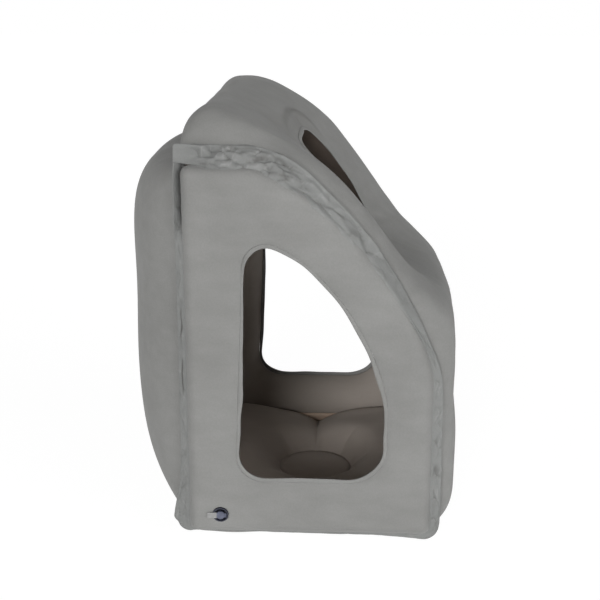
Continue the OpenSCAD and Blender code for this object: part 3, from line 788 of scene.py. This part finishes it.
# FIN_RIDGE_LIGHT is the strength of the painted light on the small wrinkles' ridges
FIN_RIDGE_LIGHT = 0.7
FIN_TUCK = 0.0016
FIN_CLEAR_SHARE = 0.4
FIN_RIM_WIDTH = 0.0050
FIN_RIM_SHADE_LINE = 0.0008
PATCH_MIDDLE = 0.6
PATCH_SWING = 0.5
PATCH_LENGTH = 0.020
PATCH_SEED = 7
FLAP_LENGTH = 0.024
FLAP_SPREAD = 0.007
FLAP_RISE = 0.003
TAIL_START = 1.250
TAIL_RISE = 0.011


def edge_fin(name, side, seed, flap):
    """The welded fin round a side wall, smooth over the back corner and crumpled along the slope."""
    start = np.argmin(np.linalg.norm(side_path - [0, SIDE_HEIGHT - SIDE_CORNER], axis=1))
    path = evenly(np.roll(side_path, -start, axis=0)[::-1], FIN_COLUMNS)
    run = np.roll(path, -1, axis=0) - np.roll(path, 1, axis=0)
    out = np.stack([-run[:, 1], run[:, 0]], axis=1)
    out /= np.linalg.norm(out, axis=1, keepdims=True)
    along = np.arange(FIN_COLUMNS) / FIN_COLUMNS * FIN_LENGTH
    loose = np.clip(1 - along / FLAP_LENGTH, 0, 1)
    tail = np.clip((along - TAIL_START) / (FIN_LENGTH - TAIL_START), 0, 1)
    out[loose > 0] = [0, 1]
    top = (SIDE_HEIGHT + FLAP_RISE * loose - path[:, 1]) * (loose > 0)
    path = path + np.stack([-FLAP_SPREAD * flap * loose, top + TAIL_RISE * tail], axis=1)

    width = swept(along, FIN_WIDTHS, FIN_WIDTH_BLUR) * (1 - (1 - flap) * loose)
    root = swept(along, FIN_ROOTS, FIN_BLUR)
    tip = swept(along, FIN_TIPS, FIN_BLUR)
    over = swept(along, FIN_OVERS, FIN_BLUR)
    crumple = swept(along, FIN_CRUMPLES, FIN_BLUR)
    share = np.linspace(0, 1, FIN_ROWS)[:, None]
    inset = (SIDE_ROUND * squared_run(root / SIDE_OUT) + SHEET) * (1 - np.sqrt(loose))
    across = (width + inset + over) * share - inset - over
    beyond = np.clip((across + inset) / (width + inset), 0, 1)
    panel = SIDE_OUT * squared(-across / SIDE_ROUND)
    lapped = np.clip(over / FIN_RIM_WIDTH, 0, 1)
    foot = root + lapped * (SIDE_OUT * squared(inset / SIDE_ROUND) - root)
    base = np.where(across < -inset, panel, foot + (tip - foot) * beyond)

    pattern = swept(along, FIN_PATTERN)
    large = Crumple(seed, FIN_LENGTH, FIN_SPAN, FIN_FACET, FIN_FACET_STRETCH)
    small = Crumple(seed + FIN_WRINKLE_SEED, FIN_LENGTH, FIN_SPAN, FIN_WRINKLE, FIN_WRINKLE_STRETCH)
    facets, valleys = large.at(pattern, across)
    wrinkles, ridges = small.at(pattern, across)
    rim = rounded((width - across) / FIN_RIM_WIDTH)
    clear = eased(share / FIN_CLEAR_SHARE)
    swell = clear * rim
    lift = crumple * (facets - FIN_WRINKLE_SHARE * wrinkles) * swell - FIN_TUCK * lapped * (1 - clear)
    length = np.hypot(width, tip - root)
    lean = np.clip(beyond * FIN_LEAN_RATE, 0, 1)
    sideways = base + lift * (1 + (width / length - 1) * lean)
    reach = across + lift * lean * (root - tip) / length
    piece = strip(name, on_side(side, sideways, path[None] + reach[..., None] * out[None]), False, SHEET)

    # Painted shade in the creases between the large facets and in lines along the rim, and painted light on
    # the ridges of the small wrinkles, marked for the flock's colour
    patch = Ripple(seed + PATCH_SEED, PATCH_LENGTH).at(along, across)
    patches = np.clip(PATCH_MIDDLE + PATCH_SWING * patch, 0, 1)
    strength = patches * swell * swept(along, FIN_CREASE_SHADES, FIN_BLUR)
    line = line_at(width - across - FIN_RIM_WIDTH, FIN_RIM_SHADE_LINE) * swept(along, FIN_RIM_SHADES, FIN_BLUR)
    mark(piece, "crease", np.clip(np.maximum(valleys * strength, line), 0, 1))
    mark(piece, "ridge", np.clip(FIN_RIDGE_LIGHT * ridges * strength, 0, 1))
    return piece


left_fin = edge_fin("left_edge_fin", LEFT, SEED + 10, flap=1)
right_fin = edge_fin("right_edge_fin", RIGHT, SEED + 20, flap=0.3)


# Weld lips inside the openings

LIP_WIDTH = 0.005
LIP_ROWS = 4
LIP_WIDTH_WAVE = 0.12
LIP_FLUTTER = 0.0008
WELD_WAVE_LENGTH = 0.05
WINDOW_LIP_COLUMNS = 300
OPENING_LIP_COLUMNS = 240


def lip_rows(path, centre, columns, seed):
    """Flat rows of a lip that runs round inside a closed path, and how far each point flutters."""
    edge = evenly(path, columns)
    away = edge - centre
    away /= np.linalg.norm(away, axis=1, keepdims=True)
    share = np.linspace(0, 1, LIP_ROWS)[:, None]
    wave = Ripple(seed, WELD_WAVE_LENGTH).at(edge[:, 0], edge[:, 1])
    flat = edge[None] - (LIP_WIDTH * share * (1 + LIP_WIDTH_WAVE * wave))[..., None] * away[None]
    return flat, LIP_FLUTTER * wave * share


def window_lip(name, side, seed):
    """The thin welded lip inside a window, a little wavy."""
    flat, flutter = lip_rows(window_path, side_centre, WINDOW_LIP_COLUMNS, seed)
    return strip(name, on_side(side, WINDOW_SET_OUTS[side] + flutter, flat), True, SHEET)


def opening_lip(name, seed):
    """The thin welded lip inside the face opening, a little wavy."""
    flat, flutter = lip_rows(opening_path, opening_centre, OPENING_LIP_COLUMNS, seed)
    lift = opening_lift(flat[:1, :, 0], flat[:1, :, 1]) + flutter
    return strip(name, on_face(flat[..., 0], flat[..., 1], lift), True, SHEET)


left_lip = window_lip("left_window_lip", LEFT, SEED + 30)
right_lip = window_lip("right_window_lip", RIGHT, SEED + 31)
face_lip = opening_lip("face_opening_lip", SEED + 32)


# The welded disc in the base, the cross seams and the tan strips

DISC_RINGS = 9
DISC_COLUMNS = 72
DISC_CAP_SHARE = 0.02
DISC_RIPPLE = 0.0012
DISC_RIPPLE_POWER = 4
DISC_THICKNESS = 2 * SHEET
SEAM_COLUMNS = 160
SEAM_SIDES = 8
SEAM_CAP = np.array([[0, 1, 2, 3], [0, 3, 4, 7], [4, 5, 6, 7]])
SEAM_RADIUS = 0.0020
SEAM_WAVE = 0.15
TAN_STRIP_HALF_LENGTH = 0.038
TAN_STRIP_WIDTH = 0.016
TAN_STRIP_STANDOFF = 0.003
TAN_STRIP_COLUMNS = 40
TAN_STRIP_ROWS = 4


def base_disc(name, seed):
    """The sunken disc where both base sheets are welded together."""
    rings = np.linspace(DISC_CAP_SHARE, 1, DISC_RINGS)[:, None]
    turns = np.linspace(0, 2 * math.pi, DISC_COLUMNS, endpoint=False)[None, :]
    radius = BASE_DISC_RADIUS + SHEET
    x = radius * rings * np.cos(turns)
    forward = BASE_DISC_BACK + radius * rings * np.sin(turns)
    ripple = DISC_RIPPLE * Ripple(seed, WELD_WAVE_LENGTH).at(x, forward)
    height = BASE_DISC_LIFT + ripple * (1 - rings ** DISC_RIPPLE_POWER)
    return strip(name, in_frame(x, forward, height), True, DISC_THICKNESS, capped=True)


def cross_seam(name, forward, height, seed):
    """A narrow welded seam between two walls, from side to side."""
    x = np.linspace(-INNER_X, INNER_X, SEAM_COLUMNS)[None, :]
    turns = np.linspace(0, 2 * math.pi, SEAM_SIDES, endpoint=False)[:, None]
    radius = SEAM_RADIUS * (1 + SEAM_WAVE * Ripple(seed, WELD_WAVE_LENGTH).at(x, 0))
    rows = in_frame(x, forward + radius * np.cos(turns), height + radius * np.sin(turns))
    index = np.arange(SEAM_SIDES * SEAM_COLUMNS).reshape(SEAM_SIDES, SEAM_COLUMNS)
    sides = quads_of(np.concatenate([index, index[:1]]), False)
    caps = np.concatenate([index[:, 0][SEAM_CAP], index[:, -1][SEAM_CAP][:, ::-1]])
    return closed_piece(name, rows.reshape(-1, 3), np.concatenate([sides, caps]))


def tan_strip(name, side):
    """A short tan strip over the foot weld of a side wall, inside beside the disc."""
    along = np.linspace(-TAN_STRIP_HALF_LENGTH, TAN_STRIP_HALF_LENGTH, TAN_STRIP_COLUMNS)[None, :]
    height = TAN_STRIP_WIDTH * np.linspace(0, 1, TAN_STRIP_ROWS)[:, None]
    bulge = SIDE_IN * arched(1 - height / WINDOW_FOOT)
    x = side * (PLANE_X - bulge - TAN_STRIP_STANDOFF)
    return strip(name, in_frame(x, BASE_DISC_BACK + along, height), False, SHEET)


disc = base_disc("base_disc", SEED + 40)
left_tan = tan_strip("left_tan_strip", LEFT)
right_tan = tan_strip("right_tan_strip", RIGHT)
top_seam = cross_seam("top_seam", BEAD / 2, SIDE_HEIGHT - BEAD / 2, SEED + 41)
front_seam = cross_seam("front_seam", SIDE_DEPTH - BEAD / 2, BEAD / 2, SEED + 42)
rear_seam = cross_seam("rear_seam", BEAD / 2, BEAD / 2, SEED + 43)


# Materials


class Value:
    """An output in a node tree, so that sums on it make the nodes that they need."""

    def __init__(self, tree, socket):
        self.tree = tree
        self.socket = socket

    def math(self, operation, first, second):
        """A Math node on two values."""
        return self.tree.node("ShaderNodeMath", {"operation": operation}, {0: first, 1: second})

    def __add__(self, other):
        return self.math("ADD", self, other)

    def __radd__(self, other):
        return self.math("ADD", other, self)

    def __sub__(self, other):
        return self.math("SUBTRACT", self, other)

    def __rsub__(self, other):
        return self.math("SUBTRACT", other, self)

    def __mul__(self, other):
        return self.math("MULTIPLY", self, other)

    def __rmul__(self, other):
        return self.math("MULTIPLY", other, self)


class Tree:
    """The node tree of a material or of the world."""

    def __init__(self, owner):
        owner.use_nodes = True
        self.nodes = owner.node_tree.nodes
        self.links = owner.node_tree.links
        self.nodes.clear()

    def node(self, kind, settings, sockets, output=0):
        """Adds a node with its settings and the values or links of its sockets, and gives one output."""
        made = self.nodes.new(kind)
        for name, value in settings.items():
            setattr(made, name, value)
        for name, value in sockets.items():
            if isinstance(value, Value):
                self.links.new(value.socket, made.inputs[name])
            else:
                made.inputs[name].default_value = value
        return Value(self, made.outputs[output]) if len(made.outputs) else None

    def noise(self, place, scale, detail):
        """A cloudy pattern of a scale, with a number of finer layers."""
        return self.node("ShaderNodeTexNoise", {}, {"Vector": place, "Scale": scale, "Detail": detail})

    def blend(self, share, first, second):
        """A colour between two colours."""
        return self.node("ShaderNodeMix", {"data_type": "RGBA"}, {0: share, 6: first, 7: second}, 2)

    def attribute(self, name):
        """A number that was marked on the piece, or 0 where it wasn't."""
        return self.node("ShaderNodeAttribute", {"attribute_name": name}, {}, "Fac")


FLOCK_DARK = (0.178, 0.178, 0.171, 1)
FLOCK_LIGHT = (0.290, 0.290, 0.282, 1)
WELD_DARK = (0.172, 0.176, 0.172, 1)
WELD_LIGHT = (0.272, 0.277, 0.270, 1)
# Painted light and shade on the insides: lighter, warmer copies of the flock for the inner side walls, the
# insides of the back and base and the disc, and a near-black copy inside the face wall
INNER_LIT_DARK = (0.290, 0.257, 0.227, 1)
INNER_LIT_LIGHT = (0.385, 0.348, 0.316, 1)
HOLLOW_LIT_DARK = (0.400, 0.352, 0.312, 1)
HOLLOW_LIT_LIGHT = (0.530, 0.478, 0.432, 1)
DEEP_SHADE_DARK = (0.120, 0.095, 0.078, 1)
DEEP_SHADE_LIGHT = (0.165, 0.136, 0.115, 1)
# Tan of the strips low inside the side walls, made lighter with painted light so that it shows bright in the
# shaded crevice
TAN_STRIP_DARK = (0.46, 0.35, 0.27, 1)
TAN_STRIP_LIGHT = (0.56, 0.44, 0.35, 1)
# Painted shade for creases and shaded gaps, and painted light for the fin's wrinkle ridges
CREASE_SHADE_COLOUR = (0.070, 0.067, 0.062, 1)
RIDGE_LIGHT_COLOUR = (0.400, 0.402, 0.395, 1)
# The valve's cup, stem and flap are painted near black: painted shade of the recess they sit in
CUP_SHADE_DARK = (0.035, 0.038, 0.060, 1)
CUP_SHADE_LIGHT = (0.075, 0.080, 0.115, 1)
PLUG_DARK = (0.095, 0.105, 0.165, 1)
PLUG_LIGHT = (0.200, 0.215, 0.290, 1)
TAB_COLOUR = (0.400, 0.400, 0.395, 1)
TAB_FORWARD = 0.0335
TAB_Y = BACK_Y - TAB_FORWARD
TAB_SHARPNESS = 600

# Patterns as (scale, detail), and the share of each in the shade of the flock
CLOUDS = (9, 3)
STROKES = (70, 4)
GRAIN = (520, 2)
NAP = (900, 2)
VINYL_CLOUDS = (240, 3)
CLOUD_SHARE = 0.7
STROKE_SHARE = 0.45
GRAIN_SHARE = 0.35
SHADE_START = 0.25
BRUSH_TURN = (0.5, 0, 0)
BRUSH_STRETCH = (1, 0.35, 1)
VINYL_ROUGHNESS = 0.12
VINYL_CLOUDING = 0.2


def flock(name, dark, light, sheen):
    """Short matt flock, with soft clouds where it is brushed and a fine grain, and with painted light on
    marked ridges and painted shade in marked creases.
    """
    material = bpy.data.materials.new(name)
    tree = Tree(material)
    place = tree.node("ShaderNodeTexCoord", {}, {}, "Object")
    brushed = tree.node(
        "ShaderNodeMapping", {}, {"Vector": place, "Rotation": BRUSH_TURN, "Scale": BRUSH_STRETCH}
    )
    clouds = tree.noise(place, *CLOUDS)
    strokes = tree.noise(brushed, *STROKES)
    grain = tree.noise(place, *GRAIN)
    shade = clouds * CLOUD_SHARE + strokes * STROKE_SHARE + grain * GRAIN_SHARE - SHADE_START
    # Painted light on the marked ridges, then painted shade in the marked creases and lines
    ridge_lit = tree.blend(tree.attribute("ridge"), tree.blend(shade, dark, light), RIDGE_LIGHT_COLOUR)
    colour = tree.blend(tree.attribute("crease"), ridge_lit, CREASE_SHADE_COLOUR)
    nap = tree.noise(place, *NAP)
    relief = tree.node("ShaderNodeBump", {}, {"Strength": 0.35, "Distance": 0.0006, "Height": nap})
    surface = tree.node(
        "ShaderNodeBsdfPrincipled", {},
        {"Base Color": colour, "Roughness": 0.95, "Specular IOR Level": 0.15, "Sheen Weight": sheen,
         "Sheen Roughness": 0.5, "Normal": relief},
    )
    tree.node("ShaderNodeOutputMaterial", {}, {"Surface": surface})
    return material


def clear_vinyl(name, dark, light, tab):
    """Soft clear vinyl with a blue-grey cast and faint clouding, paler past a line across the plug's tab."""
    material = bpy.data.materials.new(name)
    tree = Tree(material)
    place = tree.node("ShaderNodeTexCoord", {}, {}, "Object")
    clouds = tree.noise(place, *VINYL_CLOUDS)
    beside = tree.node("ShaderNodeSeparateXYZ", {}, {"Vector": place}, "Y")
    tint = tree.blend((beside - TAB_Y) * TAB_SHARPNESS, tree.blend(clouds, dark, light), tab)
    roughness = clouds * VINYL_CLOUDING + VINYL_ROUGHNESS
    surface = tree.node(
        "ShaderNodeBsdfPrincipled", {},
        {"Base Color": tint, "Roughness": roughness, "Transmission Weight": 0.35, "IOR": 1.45},
    )
    tree.node("ShaderNodeOutputMaterial", {}, {"Surface": surface})
    return material


def paint(piece, *materials):
    """Gives a piece its materials, the second one on the inner side of a wall."""
    marks = np.empty(len(piece.data.polygons), int)
    piece.data.polygons.foreach_get("material_index", marks)
    piece.data.materials.clear()
    for material in materials:
        piece.data.materials.append(material)
    piece.data.polygons.foreach_set("material_index", np.minimum(marks, len(materials) - 1))


flock_grey = flock("flock_grey", FLOCK_DARK, FLOCK_LIGHT, sheen=0.12)
# Lit and shaded copies of the flock for the insides: painted bounce light and painted shade
flock_inner_bounce_lit = flock("flock_inner_bounce_lit", INNER_LIT_DARK, INNER_LIT_LIGHT, sheen=0.08)
flock_hollow_lit = flock("flock_hollow_lit", HOLLOW_LIT_DARK, HOLLOW_LIT_LIGHT, sheen=0.08)
flock_deep_shade = flock("flock_deep_shade", DEEP_SHADE_DARK, DEEP_SHADE_LIGHT, sheen=0.05)
weld_grey = flock("weld_grey", WELD_DARK, WELD_LIGHT, sheen=0.05)
tan_strip_paint = flock("tan_strip_paint", TAN_STRIP_DARK, TAN_STRIP_LIGHT, sheen=0)
# The cup's colours are painted shade of the valve's recess
cup_vinyl_shaded = clear_vinyl("cup_vinyl_shaded", CUP_SHADE_DARK, CUP_SHADE_LIGHT, CUP_SHADE_LIGHT)
plug_vinyl = clear_vinyl("plug_vinyl", PLUG_DARK, PLUG_LIGHT, TAB_COLOUR)
# The inner sides take the painted-light copies, and the face wall's inner side the painted-shade copy
for wall in (left_wall, right_wall):
    paint(wall, flock_grey, flock_inner_bounce_lit)
for wall in (rear_wall, floor_wall):
    paint(wall, flock_grey, flock_hollow_lit)
paint(sloping_wall, flock_grey, flock_deep_shade)
for lip in (left_lip, right_lip, face_lip):
    paint(lip, flock_grey)
for piece in (left_fin, right_fin, top_seam, front_seam, rear_seam):
    paint(piece, weld_grey)
# The disc takes the painted-light copy too
paint(disc, flock_hollow_lit)
for tan_piece in (left_tan, right_tan):
    paint(tan_piece, tan_strip_paint)
VALVE_PAINTS = {
    "valve_cup": cup_vinyl_shaded,
    "valve_stem": cup_vinyl_shaded,
    "valve_flap": cup_vinyl_shaded,
    "valve_hinge_strap": plug_vinyl,
    "valve_plug": plug_vinyl,
}
for node, material in VALVE_PAINTS.items():
    for material_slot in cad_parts[node].material_slots:
        material_slot.material = material


# Frame: what each piece rides on and stands for

STANDS_FOR = [
    (left_wall, "flocked_outer", ["left_outer_sheet", "left_inner_sheet"]),
    (right_wall, "flocked_outer", ["right_outer_sheet", "right_inner_sheet"]),
    (sloping_wall, "flocked_outer", ["face_outer_sheet", "face_inner_sheet"]),
    (rear_wall, "flocked_outer", ["back_outer_sheet", "back_inner_sheet"]),
    (floor_wall, "flocked_inner", ["base_outer_sheet", "base_inner_sheet"]),
    (left_fin, "weld_strip", ["left_edge_seam"]),
    (right_fin, "weld_strip", ["right_edge_seam"]),
    (left_lip, "weld_strip", ["left_window_weld"]),
    (right_lip, "weld_strip", ["right_window_weld"]),
    (face_lip, "weld_strip", ["face_opening_weld"]),
    (disc, "weld_strip", ["base_disc_weld"]),
    (top_seam, "weld_strip", ["top_cross_seam"]),
    (front_seam, "weld_strip", ["front_cross_seam"]),
    (rear_seam, "weld_strip", ["rear_cross_seam"]),
]
for piece, slot, nodes in STANDS_FOR:
    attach(piece, "pillow")
    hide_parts(*nodes)
for tan_piece in (left_tan, right_tan):
    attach(tan_piece, "pillow")


# Studio

FLOOR_SIZE = 12
FLOOR_COLOUR = (0.9, 0.9, 0.9, 1)
WHITE = (1, 1, 1, 1)
GLOW_STRENGTH = 1.12
FLOOR_GLOW = 0.40
FLOOR_GLOW_SEEN = 0.45
SKY_STRENGTH = 0.14
SKY_STRENGTH_SEEN = 0.86
CAMERA_PLACE = Vector((-1.41899, BACK_Y - 0.17890, 0.68312))
CAMERA_LOOK = Vector((0.95333, 0.04074, -0.29916))
CAMERA_LENS = 73.68


def sun(name, place, width, power):
    """A soft sun that shines from a place on the object, as wide as an angle in degrees."""
    light = bpy.data.lights.new(name, "SUN")
    light.energy = power
    light.angle = math.radians(width)
    made = bpy.data.objects.new(name, light)
    made.location = place
    made.rotation_euler = (-Vector(place)).to_track_quat("-Z", "Y").to_euler()
    bpy.context.scene.collection.objects.link(made)
    return made


def background_ray(tree):
    """1 for what the camera sees, straight or through clear and shiny pieces, and 0 for other light."""
    seen = tree.node("ShaderNodeLightPath", {}, {}, "Is Camera Ray")
    for kind in ("Is Glossy Ray", "Is Transmission Ray"):
        seen = seen.math("MAXIMUM", seen, tree.node("ShaderNodeLightPath", {}, {}, kind))
    return seen


bpy.ops.object.select_all(action="DESELECT")
bpy.ops.mesh.primitive_plane_add(size=FLOOR_SIZE, location=(0, 0, 0))
floor = bpy.context.object
floor.name = "studio_floor"
floor_paint = bpy.data.materials.new("studio_floor")
tree = Tree(floor_paint)
diffuse = tree.node("ShaderNodeBsdfDiffuse", {}, {"Color": FLOOR_COLOUR})
glow = tree.node("ShaderNodeEmission", {}, {"Color": WHITE, "Strength": GLOW_STRENGTH})
glow_share = background_ray(tree) * FLOOR_GLOW_SEEN + FLOOR_GLOW
mixed = tree.node("ShaderNodeMixShader", {}, {0: glow_share, 1: diffuse, 2: glow})
tree.node("ShaderNodeOutputMaterial", {}, {"Surface": mixed})
paint(floor, floor_paint)

world = bpy.data.worlds.new("studio")
bpy.context.scene.world = world
tree = Tree(world)
sky_strength = background_ray(tree) * SKY_STRENGTH_SEEN + SKY_STRENGTH
backdrop = tree.node("ShaderNodeBackground", {}, {"Color": WHITE, "Strength": sky_strength})
tree.node("ShaderNodeOutputWorld", {}, {"Surface": backdrop})

lamps = [
    sun("right_light", place=(-1.3, -1.8, 0.18), width=60, power=2.35),
    sun("front_light", place=(-2.0, 0.4, 0.50), width=20, power=1.50),
    sun("left_light", place=(-1.2, 2.0, 0.15), width=60, power=0.85),
]

camera_data = bpy.data.cameras.new("photo_camera")
camera_data.lens = CAMERA_LENS
camera = bpy.data.objects.new("photo_camera", camera_data)
camera.location = CAMERA_PLACE
camera.rotation_euler = CAMERA_LOOK.to_track_quat("-Z", "Y").to_euler()
bpy.context.scene.collection.objects.link(camera)
bpy.context.scene.camera = camera
bpy.context.scene.view_settings.view_transform = "Standard"
